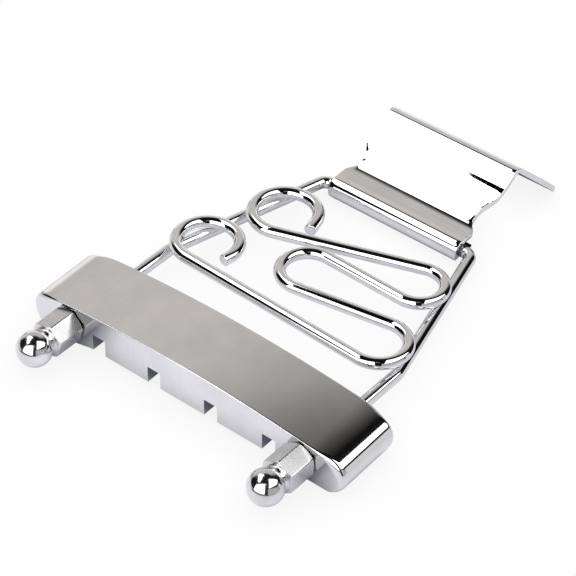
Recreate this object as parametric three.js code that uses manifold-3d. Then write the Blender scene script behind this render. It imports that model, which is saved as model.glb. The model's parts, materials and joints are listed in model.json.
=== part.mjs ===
// Four-string trapeze tailpiece for a hollow-body bass, all chromed metal.
// A bent sheet bracket is screwed to the tail of the instrument. A wire frame is hinged in its
// rolled lip, a scroll of the same wire is brazed on top of the frame, and the string bar rides
// on the two rods of the frame, held against two ball-ended hexagon nuts.
// Millimetres, +Z up, +X along the string bar, +Y towards the tail. The part lies on a table.
import * as THREE from "three";
import { mergeVertices } from "three/addons/utils/BufferGeometryUtils.js";
import Module from "manifold-3d";

const wasm = await Module();
wasm.setup();

// Wire of the frame and the scroll
const wireThick = 3.5;
const brazeSeat = 0.25; // room between the scroll and the rod that it is brazed to

// Tail bracket, bent from one sheet
const sheetThick = 1.5;
const hingeGap = 0.1; // running clearance of the cross wire in the rolled lip
const lipTail = 5.6; // how far the lip returns under the plate, from the hinge axis
const lipCorner = 2.6; // rounding of the lip's lower corners, seen from the front
const shelfReach = 7.7; // hinge axis to the foot of the rise
const riseRun = 7.3;
const riseHeight = 5.6;
const shoulderRun = 11;
const shoulderHeight = 3.9;
const riseBend = 8.5; // bend radii on the middle of the sheet
const shoulderBend = 25;
const ridgeBend = 2.4;
const legSlope = THREE.MathUtils.degToRad(44.6); // how steeply the leg drops
const lipHalf = 22; // half widths of the plate, from the lip to the foot of the leg
const waistHalf = 19.5;
const shoulderHalf = 22.6;
const ridgeHalf = 22;
const footHalf = 26.7;
const waistStart = 4; // where the sides draw in, where they are narrowest and where full again
const waistReach = 8.9;
const shoulderReach = 17.2;
const sideEaseShare = 0.45; // how smoothly the sides pass from one width to the next
const footCorner = 5;
const screwHole = 4.5;
const screwPitch = 26; // between the two upper screws
const screwInset = 7; // upper screws below the ridge, and the lower one above the foot

// Wire frame: two parallel rods, drawn in to a cross wire in the lip
const rodPitch = 77.2;
const neckPitch = 50.8; // between the corners at the hinge axis
const bendDistance = 52; // hinge axis to the corner where the rods draw in
const rodBend = 12;
const elbowBend = 3;

// Scroll: loops centred at these distances in front of the hinge axis
const hookFront = 46.4;
const hookFrontRound = 8.75;
const turnFront = 48.9;
const turnFrontRound = 8.2;
const turnMiddle = 38.2;
const turnMiddleRound = 7.85;
const turnMiddleSide = -1.5; // centre beside the middle plane
const turnBack = 23.6;
const turnBackRound = 7.3;
const hookBack = 22.7;
const hookBackRound = 9.2;
const hookFrontOut = 1.6; // how far the front hook reaches past the rod's centre
const hookFrontEnd = THREE.MathUtils.degToRad(-8); // where the hooks run out into straight tips
const hookFrontTip = 2.2;
const hookBackEnd = THREE.MathUtils.degToRad(14);
const hookBackTip = 4;

// String bar: crowned on top, with a deeper boss round the bore at each end
const barLength = 104;
const barDepth = 21.8;
const barHeight = 14.1; // at the crown
const crownReach = 41; // where the crown ends and the rounded ends begin
const crownDrop = 2.1; // from the middle of the crown to there
const endDrop = 0.75; // how far the ends go on falling at the same pace
const endBulge = 4.6; // fullness of the ends above the side's widest height
const sideHeight = 5.5; // widest height of the ends
const footRun = 4.5; // rounding under the ends
const bossInner = 38.5; // flat underside of the bosses, from the middle
const reliefHalf = 30; // raised underside between the bosses
const reliefRise = 1.5;
const reliefEase = 2.8;
const barCorner = 1.8; // upright corners, seen from above
const barEdge = 0.5; // rounding of the front and back edges
const boreHeight = 6.1;
const hingeToBar = 70.35; // hinge axis to the back of the bar
const barTravel = 11.2; // free play from the nuts back to the scroll
const boreGap = 0.15;
const stringPitch = 19;
const stringCount = 4;
const slotWidth = 4.3;
const slotHeight = 5.4; // above the raised underside
const pocketWidth = 8;
const pocketLength = 7.5;
const pocketHeight = 7.4;
const pocketWall = 4; // metal behind the ball-end pockets
const pocketRound = 1.2;

// Ball-ended nuts
const nutFlats = 9.2;
const nutLength = 9.1;
const nutChamfer = 0.5;
const nutFace = 8.8; // round face left by the end chamfers
const nutSeat = 0.35; // room between a nut and the bar
const ballThick = 9.85;
const ballReach = 4.2; // front of the hexagon to the centre of the ball
const ballNeck = 7.6;
const threadGap = 0.15;
const threadDepth = 8; // rod inside the nut
const threadRelief = 0.7;
const leftNutTurn = THREE.MathUtils.degToRad(12);
const rightNutTurn = THREE.MathUtils.degToRad(31);

const overrun = 2; // how far cutting shapes reach past what they cut

// How finely curves are drawn
const wireSides = 16;
const arcStep = THREE.MathUtils.degToRad(11);
const curveSteps = 8;
const cornerSteps = 5;
const bevelSteps = 2;
const crownStrips = 24;
const holeSides = 28;
const roundSides = 36;
const ballRings = 22;
const mergeShare = 1e-5; // corners closer than this share of the wire are one corner

// Sizes that follow from the ones above
const wireRadius = wireThick / 2;
const lipInner = wireRadius + hingeGap;
const lipOuter = lipInner + sheetThick;
const lipMiddle = lipInner + sheetThick / 2;
const hingeHeight = lipOuter;
const barFront = hingeToBar + barDepth;
const nutCorner = nutFlats / Math.sqrt(3);
const nutBack = barFront + nutSeat;
const scrollLift = wireThick + brazeSeat;

// The frame leans: its cross wire lies in the low lip, its rods go up into the bores of the bar
const barMiddle = hingeToBar + barDepth / 2;
const lean = Math.atan2(boreHeight - hingeHeight, barMiddle);

// Solids and meshes
function solid(geometry) {
  const bare = geometry.index ? geometry.toNonIndexed() : geometry.clone();
  bare.deleteAttribute("normal");
  bare.deleteAttribute("uv");
  const merged = mergeVertices(bare, wireThick * mergeShare);
  return new wasm.Manifold(
    new wasm.Mesh({
      numProp: 3,
      vertProperties: Float32Array.from(merged.attributes.position.array),
      triVerts: Uint32Array.from(merged.index.array),
    }),
  );
}

function geometryOf(body) {
  const { vertProperties, triVerts, numProp } = body.getMesh();
  const geometry = new THREE.BufferGeometry();
  const places = new Float32Array((vertProperties.length / numProp) * 3);
  for (let i = 0; i < places.length / 3; i++) {
    for (let k = 0; k < 3; k++) places[3 * i + k] = vertProperties[numProp * i + k];
  }
  geometry.setAttribute("position", new THREE.BufferAttribute(places, 3));
  geometry.setIndex(new THREE.BufferAttribute(triVerts, 1));
  geometry.computeVertexNormals();
  return geometry;
}

const chrome = (color, roughness) => new THREE.MeshStandardMaterial({ color, roughness, metalness: 1 });

function piece(name, geometry, material) {
  const mesh = new THREE.Mesh(geometry, material);
  mesh.name = name;
  return mesh;
}

// A straight cylinder about Y
const cylinder = (radius, length, sides) => new THREE.CylinderGeometry(radius, radius, length, sides);

// A straight extrusion of an outline drawn in X and Z, running along +Y
function alongY(outline, depth, extra = {}) {
  const geometry = new THREE.ExtrudeGeometry(outline, { depth, bevelEnabled: false, ...extra });
  return geometry.rotateX(Math.PI / 2).translate(0, depth, 0);
}

// A rounded rectangle, widths and places given by its corners
function roundedBox(low, high, round) {
  const shape = new THREE.Shape();
  shape.absarc(high.x - round, high.y - round, round, 0, Math.PI / 2);
  shape.absarc(low.x + round, high.y - round, round, Math.PI / 2, Math.PI);
  shape.absarc(low.x + round, low.y + round, round, Math.PI, 1.5 * Math.PI);
  shape.absarc(high.x - round, low.y + round, round, 1.5 * Math.PI, 2 * Math.PI);
  return shape;
}

// Points along a bent line: straight runs between corners, each corner turned at its own radius
function bentLine(corners, radii) {
  const points = [corners[0].clone()];
  for (let i = 1; i < corners.length - 1; i++) {
    const back = corners[i - 1].clone().sub(corners[i]).normalize();
    const ahead = corners[i + 1].clone().sub(corners[i]).normalize();
    const turn = Math.PI - back.angleTo(ahead);
    const reach = radii[i - 1] * Math.tan(turn / 2);
    const centre = corners[i].clone().add(
      back.clone().add(ahead).normalize().multiplyScalar(radii[i - 1] / Math.cos(turn / 2)),
    );
    const from = corners[i].clone().addScaledVector(back, reach).sub(centre);
    const to = corners[i].clone().addScaledVector(ahead, reach).sub(centre);
    const steps = Math.max(2, Math.ceil(turn / arcStep));
    for (let k = 0; k <= steps; k++) {
      const share = k / steps;
      const swing = from.clone().multiplyScalar(Math.sin((1 - share) * turn))
        .addScaledVector(to, Math.sin(share * turn)).divideScalar(Math.sin(turn));
      points.push(centre.clone().add(swing));
    }
  }
  points.push(corners[corners.length - 1].clone());
  return points;
}

// A wire path that puts one ring at each of its own points
class WirePath extends THREE.Curve {
  constructor(points) {
    super();
    this.points = points;
    const step = (i) => points[i + 1].clone().sub(points[i]).normalize();
    this.headings = points.map((_, i) => {
      if (i === 0) return step(0);
      if (i === points.length - 1) return step(i - 1);
      return step(i - 1).add(step(i)).normalize();
    });
  }
  getPoint(t, target = new THREE.Vector3()) {
    return target.copy(this.points[Math.round(t * (this.points.length - 1))]);
  }
  getTangent(t, target = new THREE.Vector3()) {
    return target.copy(this.headings[Math.round(t * (this.points.length - 1))]);
  }
  getUtoTmapping(u) {
    return u;
  }
}

function wire(points) {
  const round = new THREE.Path().absarc(0, 0, wireRadius, 0, 2 * Math.PI);
  const section = new THREE.Shape(round.getSpacedPoints(wireSides).slice(0, -1));
  return new THREE.ExtrudeGeometry(section, { steps: points.length - 1, extrudePath: new WirePath(points) });
}

// Tail bracket, drawn from the side with the hinge axis at zero: y to the tail, z up
const place = (y, z) => new THREE.Vector2(y, z);
const shelfEnd = place(shelfReach, lipMiddle);
const riseEnd = shelfEnd.clone().add(place(riseRun, riseHeight));
const ridge = riseEnd.clone().add(place(shoulderRun, shoulderHeight));
const legWay = place(Math.cos(legSlope), -Math.sin(legSlope));
const legFace = place(Math.sin(legSlope), Math.cos(legSlope));
// the inner edge of the foot touches the table
const legLength = (ridge.y + hingeHeight - (sheetThick / 2) * Math.cos(legSlope)) / Math.sin(legSlope);
const foot = ridge.clone().addScaledVector(legWay, legLength);

function sheetOutline() {
  const middle = bentLine(
    [place(lipTail, -lipMiddle), place(-lipMiddle, -lipMiddle), place(-lipMiddle, lipMiddle),
      shelfEnd, riseEnd, ridge, foot],
    [lipMiddle, lipMiddle, riseBend, shoulderBend, ridgeBend],
  );
  const sides = [1, -1].map((side) => middle.map((point, i) => {
    const before = middle[Math.max(i - 1, 0)];
    const after = middle[Math.min(i + 1, middle.length - 1)];
    const way = after.clone().sub(before).normalize();
    return point.clone().addScaledVector(place(way.y, -way.x), (side * sheetThick) / 2);
  }));
  return new THREE.Shape([...sides[0], ...sides[1].reverse()]);
}

// The plate seen from above: full at the lip, waisted at the rise, full at the shoulder, wide at the foot
function plateOutline() {
  const footEnd = foot.x + (sheetThick / 2) * legFace.x;
  const widths = [
    place(lipHalf, waistStart),
    place(waistHalf, waistReach),
    place(shoulderHalf, shoulderReach),
    place(ridgeHalf, ridge.x),
    place(footHalf, footEnd - footCorner),
  ];
  const side = new THREE.Path().moveTo(lipHalf, -lipOuter - overrun).lineTo(lipHalf, waistStart);
  for (let i = 1; i < widths.length; i++) {
    const [from, to] = [widths[i - 1], widths[i]];
    const ease = (to.y - from.y) * sideEaseShare;
    side.bezierCurveTo(from.x, from.y + ease, to.x, to.y - ease, to.x, to.y);
  }
  side.quadraticCurveTo(footHalf, footEnd, footHalf - footCorner, footEnd);
  side.lineTo(footHalf - footCorner, footEnd + overrun);
  const right = side.getPoints(curveSteps);
  return new THREE.Shape([...right, ...right.map((point) => place(-point.x, point.y)).reverse()]);
}

function tailBracket() {
  const widest = footHalf + overrun;
  const sheet = new THREE.ExtrudeGeometry(sheetOutline(), { depth: 2 * widest, bevelEnabled: false });
  // drawn in y and z, so the extrusion is turned to run along X
  sheet.applyMatrix4(new THREE.Matrix4().makeBasis(
    new THREE.Vector3(0, 1, 0), new THREE.Vector3(0, 0, 1), new THREE.Vector3(1, 0, 0),
  )).translate(-widest, 0, 0);
  const tall = ridge.y + lipOuter + 2 * overrun;
  const plan = new THREE.ExtrudeGeometry(plateOutline(), { depth: tall, bevelEnabled: false });
  let body = solid(sheet).intersect(solid(plan.translate(0, 0, -lipOuter - overrun)));

  for (const side of [-1, 1]) {
    const corner = new THREE.Shape();
    corner.moveTo(side * (lipHalf - lipCorner), -lipOuter);
    corner.quadraticCurveTo(side * lipHalf, -lipOuter, side * lipHalf, lipCorner - lipOuter);
    corner.lineTo(side * (lipHalf + overrun), lipCorner - lipOuter);
    corner.lineTo(side * (lipHalf + overrun), -lipOuter - overrun);
    corner.lineTo(side * (lipHalf - lipCorner), -lipOuter - overrun);
    const cutter = alongY(corner, lipOuter + lipTail + 2 * overrun);
    body = body.subtract(solid(cutter.translate(0, -lipOuter - overrun, 0)));
  }

  // two screws high on the leg and one low, square to its face
  const upper = ridge.clone().addScaledVector(legWay, screwInset);
  const lower = ridge.clone().addScaledVector(legWay, legLength - screwInset);
  for (const [x, spot] of [[-screwPitch / 2, upper], [screwPitch / 2, upper], [0, lower]]) {
    const drill = cylinder(screwHole / 2, sheetThick + 2 * overrun, holeSides);
    drill.rotateX(Math.PI / 2 - legSlope).translate(x, spot.x, spot.y);
    body = body.subtract(solid(drill));
  }
  return geometryOf(body);
}

// Wire frame, in its own plane: x across, y to the tail, hinge axis at zero
const flat = (x, y) => new THREE.Vector3(x, y, 0);

function wireFrame() {
  const reach = nutBack + threadDepth;
  const half = [flat(rodPitch / 2, -reach), flat(rodPitch / 2, -bendDistance), flat(neckPitch / 2, 0)];
  const mirrored = half.map((point) => flat(-point.x, point.y)).reverse();
  return wire(bentLine([...half, ...mirrored], [rodBend, elbowBend, elbowBend, rodBend]));
}

// where the middle of a rod is, at a distance in front of the hinge axis
function rodSide(distance) {
  const drawn = Math.max(0, 1 - distance / bendDistance);
  return rodPitch / 2 - ((rodPitch - neckPitch) / 2) * drawn;
}

// The straight run that leaves one loop and joins the next. turn is +1 for a left-hand loop.
function runBetween(first, second) {
  const way = second.centre.clone().sub(first.centre);
  const tilt = Math.asin((second.turn * second.round - first.turn * first.round) / way.length());
  const heading = way.angle() - tilt;
  const left = place(-Math.sin(heading), Math.cos(heading));
  return [first, second].map((loop) => loop.centre.clone().addScaledVector(left, -loop.turn * loop.round));
}

function scrollWire() {
  const loop = (x, distance, round, turn) => ({ centre: place(x, -distance), round, turn });
  const loops = [
    loop(hookFrontRound - rodSide(hookFront) - hookFrontOut, hookFront, hookFrontRound, 1),
    loop(rodSide(turnFront) - turnFrontRound, turnFront, turnFrontRound, 1),
    loop(turnMiddleSide, turnMiddle, turnMiddleRound, -1),
    loop(rodSide(turnBack) - turnBackRound, turnBack, turnBackRound, 1),
    loop(hookBackRound - rodSide(hookBack), hookBack, hookBackRound, -1),
  ];
  const runs = loops.slice(1).map((next, i) => runBetween(loops[i], next));
  const points = [];
  loops.forEach((at, i) => {
    const angleTo = (point) => point.clone().sub(at.centre).angle();
    const from = i === 0 ? hookFrontEnd : angleTo(runs[i - 1][1]);
    const to = i === loops.length - 1 ? hookBackEnd : angleTo(runs[i][0]);
    const sweep = THREE.MathUtils.euclideanModulo((to - from) * at.turn, 2 * Math.PI);
    const steps = Math.ceil(sweep / arcStep);
    for (let k = 0; k <= steps; k++) {
      const angle = from + (at.turn * sweep * k) / steps;
      const outward = flat(Math.cos(angle), Math.sin(angle));
      points.push(flat(at.centre.x, at.centre.y).addScaledVector(outward, at.round));
    }
  });
  const tip = (angle, run, at) => at.clone().add(flat(Math.sin(angle), -Math.cos(angle)).multiplyScalar(run));
  points.unshift(tip(hookFrontEnd, hookFrontTip, points[0]));
  points.push(tip(hookBackEnd, hookBackTip, points[points.length - 1]));
  return wire(points);
}

// String bar: bosses down to zero, front face at zero, running back along +Y
function stringBar() {
  const half = barLength / 2;
  const crown = (x) => barHeight - crownDrop * (x / crownReach) ** 2;
  const outline = new THREE.Shape();
  outline.moveTo(reliefHalf, reliefRise);
  outline.bezierCurveTo(reliefHalf + reliefEase, reliefRise, bossInner - reliefEase, 0, bossInner, 0);
  outline.lineTo(half - footRun, 0);
  outline.absellipse(half - footRun, sideHeight, footRun, sideHeight, -Math.PI / 2, 0);
  const fallRun = (endDrop * crownReach) / (2 * crownDrop);
  const fallEnd = crown(crownReach) - endDrop;
  outline.bezierCurveTo(
    half, sideHeight + endBulge, crownReach + fallRun, fallEnd, crownReach, crown(crownReach),
  );
  for (let i = 1; i <= crownStrips; i++) {
    const x = crownReach * (1 - (2 * i) / crownStrips);
    outline.lineTo(x, crown(x));
  }
  outline.bezierCurveTo(-crownReach - fallRun, fallEnd, -half, sideHeight + endBulge, -half, sideHeight);
  outline.absellipse(footRun - half, sideHeight, footRun, sideHeight, Math.PI, 1.5 * Math.PI);
  outline.lineTo(-bossInner, 0);
  outline.bezierCurveTo(
    reliefEase - bossInner, 0, -reliefHalf - reliefEase, reliefRise, -reliefHalf, reliefRise,
  );

  const block = alongY(outline, barDepth - 2 * barEdge, {
    curveSegments: curveSteps,
    bevelEnabled: true,
    bevelThickness: barEdge,
    bevelSize: barEdge,
    bevelOffset: -barEdge,
    bevelSegments: bevelSteps,
  }).translate(0, barEdge, 0);
  const plan = new THREE.ExtrudeGeometry(
    roundedBox(place(-half, 0), place(half, barDepth), barCorner),
    { depth: barHeight + 2 * overrun, bevelEnabled: false, curveSegments: cornerSteps },
  );
  let body = solid(block).intersect(solid(plan.translate(0, 0, -overrun)));

  // keyholes in the underside: a slot for the string, open to the front, and a pocket for its ball end
  const pocketBack = barDepth - pocketWall;
  const pocketFront = pocketBack - pocketLength;
  for (let i = 0; i < stringCount; i++) {
    const x = (i - (stringCount - 1) / 2) * stringPitch;
    const slotTop = reliefRise + slotHeight;
    const slot = new THREE.BoxGeometry(slotWidth, pocketFront + 2 * overrun, slotTop + overrun);
    slot.translate(x, pocketFront / 2, (slotTop - overrun) / 2);
    const low = place(x - pocketWidth / 2, pocketFront);
    const high = place(x + pocketWidth / 2, pocketBack);
    const pocket = new THREE.ExtrudeGeometry(
      roundedBox(low, high, pocketRound),
      { depth: reliefRise + pocketHeight + overrun, bevelEnabled: false, curveSegments: cornerSteps },
    );
    body = body.subtract(solid(slot)).subtract(solid(pocket.translate(0, 0, -overrun)));
  }

  // bores for the rods, wide enough for their lean at every place along the travel
  const shift = ((barDepth + barTravel) / 2) * Math.tan(lean);
  const bore = wireRadius + shift + boreGap;
  const boreMiddle = boreHeight - (barTravel / 2) * Math.tan(lean);
  for (const side of [-1, 1]) {
    const drill = cylinder(bore, barDepth + 2 * overrun, holeSides);
    drill.translate((side * rodPitch) / 2, barDepth / 2, boreMiddle);
    body = body.subtract(solid(drill));
  }
  return geometryOf(body);
}

// A nut about its own axis, its back face at zero and its ball out along -Y
function ballNut(turn) {
  const prism = new THREE.CylinderGeometry(nutCorner, nutCorner, nutLength, 6)
    .rotateY(Math.PI / 6 - turn).translate(0, -nutLength / 2, 0);
  const turned = new THREE.LatheGeometry([
    place(0, 0), place(nutFace / 2, 0), place(nutCorner, -nutChamfer),
    place(nutCorner, nutChamfer - nutLength), place(nutFace / 2, -nutLength), place(0, -nutLength),
  ].reverse(), roundSides);
  const neck = cylinder(ballNeck / 2, nutLength / 2 + ballReach, roundSides)
    .translate(0, -(nutLength / 2 + nutLength + ballReach) / 2, 0);
  const ball = new THREE.SphereGeometry(ballThick / 2, roundSides, ballRings)
    .translate(0, -nutLength - ballReach, 0);
  const hole = wireRadius + threadGap;
  const thread = cylinder(hole, threadDepth + threadRelief + overrun, holeSides)
    .translate(0, (overrun - threadDepth - threadRelief) / 2, 0);
  return geometryOf(
    solid(prism).intersect(solid(turned)).add(solid(neck)).add(solid(ball)).subtract(solid(thread)),
  );
}

// The assembly, on the hinge axis
const wires = new THREE.Group();
wires.add(piece("wire_frame", wireFrame(), chrome(0xd6d6da, 0.08)));
const scroll = piece("scroll_wire", scrollWire(), chrome(0xdcdce0, 0.08));
scroll.position.z = scrollLift;
wires.add(scroll);
for (const [name, side, turn] of [["ball_nut_left", -1, leftNutTurn], ["ball_nut_right", 1, rightNutTurn]]) {
  const nut = piece(name, ballNut(turn), chrome(0xc9c8cc, 0.12));
  nut.position.set((side * rodPitch) / 2, -nutBack, 0);
  wires.add(nut);
}
wires.rotation.x = -lean;

const bracket = piece("tail_bracket", tailBracket(), chrome(0xe6e6e8, 0.1));

const bar = piece("string_bar", stringBar(), chrome(0xb8b6b4, 0.16));
bar.position.set(0, -barFront, -hingeHeight);

const tailpiece = new THREE.Group();
tailpiece.add(bracket, wires, bar);
tailpiece.updateMatrixWorld(true);

// the origin lies on the table, under the middle of the whole
const extent = new THREE.Box3().setFromObject(tailpiece, true);
tailpiece.position.set(0, -(extent.min.y + extent.max.y) / 2, hingeHeight);

export default tailpiece;
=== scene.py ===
import json
import math
import bmesh
import bpy
from mathutils import Matrix, Vector


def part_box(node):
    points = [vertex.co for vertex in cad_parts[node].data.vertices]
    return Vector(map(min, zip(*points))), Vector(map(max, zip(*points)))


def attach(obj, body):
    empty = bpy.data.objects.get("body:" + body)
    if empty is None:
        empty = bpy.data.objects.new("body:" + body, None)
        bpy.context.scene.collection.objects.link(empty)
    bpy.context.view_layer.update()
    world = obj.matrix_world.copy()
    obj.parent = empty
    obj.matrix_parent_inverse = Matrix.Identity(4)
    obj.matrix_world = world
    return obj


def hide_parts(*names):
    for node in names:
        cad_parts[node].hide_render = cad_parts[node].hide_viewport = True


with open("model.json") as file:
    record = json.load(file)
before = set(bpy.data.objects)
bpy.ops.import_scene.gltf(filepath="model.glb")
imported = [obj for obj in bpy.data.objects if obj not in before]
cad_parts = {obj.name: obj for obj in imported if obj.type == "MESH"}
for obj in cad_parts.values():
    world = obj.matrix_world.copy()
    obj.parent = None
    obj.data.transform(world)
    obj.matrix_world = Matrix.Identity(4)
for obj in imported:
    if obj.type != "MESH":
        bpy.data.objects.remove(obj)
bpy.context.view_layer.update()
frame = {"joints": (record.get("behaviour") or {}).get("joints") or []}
scene = bpy.context.scene
mm = 0.001


# Small helpers

def srgb(code):
    # "#rrggbb" to linear, with alpha
    parts = [int(code[i:i + 2], 16) / 255 for i in (1, 3, 5)]
    return tuple(c / 12.92 if c <= 0.04045 else ((c + 0.055) / 1.055) ** 2.4 for c in parts) + (1.0,)


def addNode(tree, kind, settings=None, links=None):
    # settings are attributes or socket values, links are socket -> source socket
    node = tree.nodes.new(kind)
    for name, value in (settings or {}).items():
        if isinstance(name, int) or (name in node.inputs and not hasattr(node, str(name))):
            node.inputs[name].default_value = value
        else:
            setattr(node, name, value)
    for name, source in (links or {}).items():
        tree.links.new(source, node.inputs[name])
    return node


def emptyMaterial(name):
    material = bpy.data.materials.new(name)
    material.use_nodes = True
    material.node_tree.nodes.clear()
    return material


def overlapOf(tree, masks):
    # all the masks multiplied
    overlap = masks[0]
    for mask in masks[1:]:
        overlap = addNode(tree, "ShaderNodeMath", {"operation": "MULTIPLY"}, {0: overlap, 1: mask}).outputs[0]
    return overlap


def newObject(name, data):
    thing = bpy.data.objects.new(name, data)
    scene.collection.objects.link(thing)
    return thing


def toMesh(thing, name):
    # a working object's evaluated form as a plain mesh object, in place of the working one
    bpy.context.view_layer.update()
    graph = bpy.context.evaluated_depsgraph_get()
    mesh = bpy.data.meshes.new_from_object(thing.evaluated_get(graph), depsgraph=graph)
    mesh.name = name
    bpy.data.objects.remove(thing)
    return newObject(name, mesh)


def meshOf(points, faces, name):
    weldReach = 1e-4 * mm  # points closer than this become one
    mesh = bpy.data.meshes.new(name)
    mesh.from_pydata([tuple(p) for p in points], [], faces)
    mesh.validate()
    work = bmesh.new()
    work.from_mesh(mesh)
    bmesh.ops.remove_doubles(work, verts=work.verts, dist=weldReach)
    bmesh.ops.recalc_face_normals(work, faces=work.faces)
    work.to_mesh(mesh)
    work.free()
    return mesh


def solidOf(rings, name):
    # closed rings of equal count joined by quads, with a flat face at each end
    count = len(rings[0])
    last = (len(rings) - 1) * count
    faces = []
    for start in range(0, last, count):
        for k in range(count):
            after = (k + 1) % count
            faces.append((start + k, start + after, start + count + after, start + count + k))
    faces.append(tuple(range(count - 1, -1, -1)))
    faces.append(tuple(range(last, last + count)))
    return newObject(name, meshOf([p for ring in rings for p in ring], faces, name))


def cut(target, cutter, operation="DIFFERENCE"):
    work = target.modifiers.new("cut", "BOOLEAN")
    work.operation = operation
    work.solver = "EXACT"
    work.object = cutter
    made = toMesh(target, target.name)
    bpy.data.objects.remove(cutter)
    return made


def polish(thing, crease, finish):
    # smooth shading that breaks at creases (degrees), weighted by face size so that flats stay flat
    thing.data.shade_smooth()
    thing.data.set_sharp_from_angle(angle=math.radians(crease))
    weigh = thing.modifiers.new("weigh", "WEIGHTED_NORMAL")
    weigh.keep_sharp = True
    weigh.weight = 60  # large faces lead a little more than by default
    made = toMesh(thing, thing.name)
    made.data.materials.clear()
    made.data.materials.append(finish)
    return made


def quarterRound(radius, steps):
    # round an edge: distance in from the end, and what the sides draw in there
    swings = [math.radians(90 * k / steps) for k in range(steps + 1)]
    return [(radius * (1 - math.cos(swing)), radius * (1 - math.sin(swing))) for swing in swings]


def easedShare(value, start, end):
    # 0 before start and 1 after end, smooth between
    share = min(1.0, max(0.0, (value - start) / (end - start)))
    return share * share * (3 - 2 * share)


def bentLine(corners, radii, stepDegrees):
    # straight runs between corners, each corner turned at its own radius
    points = [corners[0].copy()]
    for i in range(1, len(corners) - 1):
        back = (corners[i - 1] - corners[i]).normalized()
        ahead = (corners[i + 1] - corners[i]).normalized()
        turn = math.pi - back.angle(ahead)
        reach = radii[i - 1] * math.tan(turn / 2)
        centre = corners[i] + (back + ahead).normalized() * (radii[i - 1] / math.cos(turn / 2))
        start, end = corners[i] + back * reach - centre, corners[i] + ahead * reach - centre
        steps = max(3, math.ceil(math.degrees(turn) / stepDegrees))
        for k in range(steps + 1):
            share = k / steps
            points.append(centre + (start * math.sin((1 - share) * turn)
                                    + end * math.sin(share * turn)) / math.sin(turn))
    points.append(corners[-1].copy())
    return points


def bezier(a, b, c, d, steps):
    made = []
    for k in range(1, steps + 1):
        t = k / steps
        made.append(a * (1 - t) ** 3 + b * 3 * t * (1 - t) ** 2 + c * 3 * t * t * (1 - t) + d * t ** 3)
    return made


def cylinderRings(x, z, radius, y0, y1, sides):
    # a round bar along Y
    ring = [(x + radius * math.cos(2 * math.pi * k / sides), z + radius * math.sin(2 * math.pi * k / sides))
            for k in range(sides)]
    return [[Vector((a, y, b)) * mm for a, b in ring] for y in (y0, y1)]


# Places that the frame gives: the hinge axis, and how far the wires lean up to the string bar
joints = {joint["name"]: joint for joint in frame["joints"]}
hingeAt = Vector(joints["tail_hinge"]["pos_m"])
rodWay = Vector(joints["left_nut_turn"]["axis"])
lean = math.atan2(rodWay.z, -rodWay.y)
wirePlane = Matrix.Translation(hingeAt) @ Matrix.Rotation(-lean, 4, "X")


# Camera at the photograph's angle, in millimetres but for the clip distances, which are metres
cameraView = {
    "place": (290.874, -387.065, 435.084),
    "right": (0.77694, 0.62952, 0.00839),
    "forward": (-0.46399, 0.58155, -0.66822),
    "lens": 150.16, "sensor": 36.0,
    "shiftX": 0.03312, "shiftY": 0.00122,
    "nearest": 0.01, "farthest": 20,
}


def makeCamera():
    s = cameraView
    data = bpy.data.cameras.new("photoCamera")
    data.sensor_fit = "HORIZONTAL"
    data.sensor_width = s["sensor"]
    data.lens = s["lens"]
    data.shift_x, data.shift_y = s["shiftX"], s["shiftY"]
    data.clip_start, data.clip_end = s["nearest"], s["farthest"]
    camera = newObject("photoCamera", data)
    back = -Vector(s["forward"]).normalized()
    right = Vector(s["right"])
    right = (right - back * right.dot(back)).normalized()
    up = back.cross(right)
    turn = Matrix((right, up, back)).transposed()
    camera.matrix_world = Matrix.Translation(Vector(s["place"]) * mm) @ turn.to_4x4()
    scene.camera = camera


makeCamera()
print("camera placed")


# Nickel and chrome plate, on every piece: a bright and almost neutral mirror. Sizes are in millimetres.
# Real buffing lines are a few hundredths wide, so they are drawn coarser here, to show at all.
chromePattern = {
    "cloud": (0.35, 0.65),  # the part of the noise that goes from shade to light
    "line": (0.3, 0.7), "lineHeight": 0.02,
}


def boxMask(tree, place, box):
    # 1 inside a box about the hinge: half width, reach in front, reach behind, half height
    halfWidth, front, behind, halfHeight = (size * mm for size in box)
    side = addNode(tree, "ShaderNodeMath", {"operation": "ABSOLUTE"}, {0: place["X"]})
    height = addNode(tree, "ShaderNodeMath", {"operation": "SUBTRACT", 1: hingeAt.z}, {0: place["Z"]})
    height = addNode(tree, "ShaderNodeMath", {"operation": "ABSOLUTE"}, {0: height.outputs[0]})
    limits = ((side.outputs[0], "LESS_THAN", halfWidth),
              (height.outputs[0], "LESS_THAN", halfHeight),
              (place["Y"], "GREATER_THAN", hingeAt.y - front),
              (place["Y"], "LESS_THAN", hingeAt.y + behind))
    return overlapOf(tree, [
        addNode(tree, "ShaderNodeMath", {"operation": test, 1: limit}, {0: value}).outputs[0]
        for value, test, limit in limits])


def bandMask(tree, place, band, fade):
    # 1 between two distances behind the hinge
    return overlapOf(tree, [
        addNode(tree, "ShaderNodeMapRange", {
            "From Min": hingeAt.y + (edge - way * fade) * mm,
            "From Max": hingeAt.y + (edge + way * fade) * mm}, {"Value": place["Y"]}).outputs["Result"]
        for edge, way in zip(band, (1, -1))])


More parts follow.
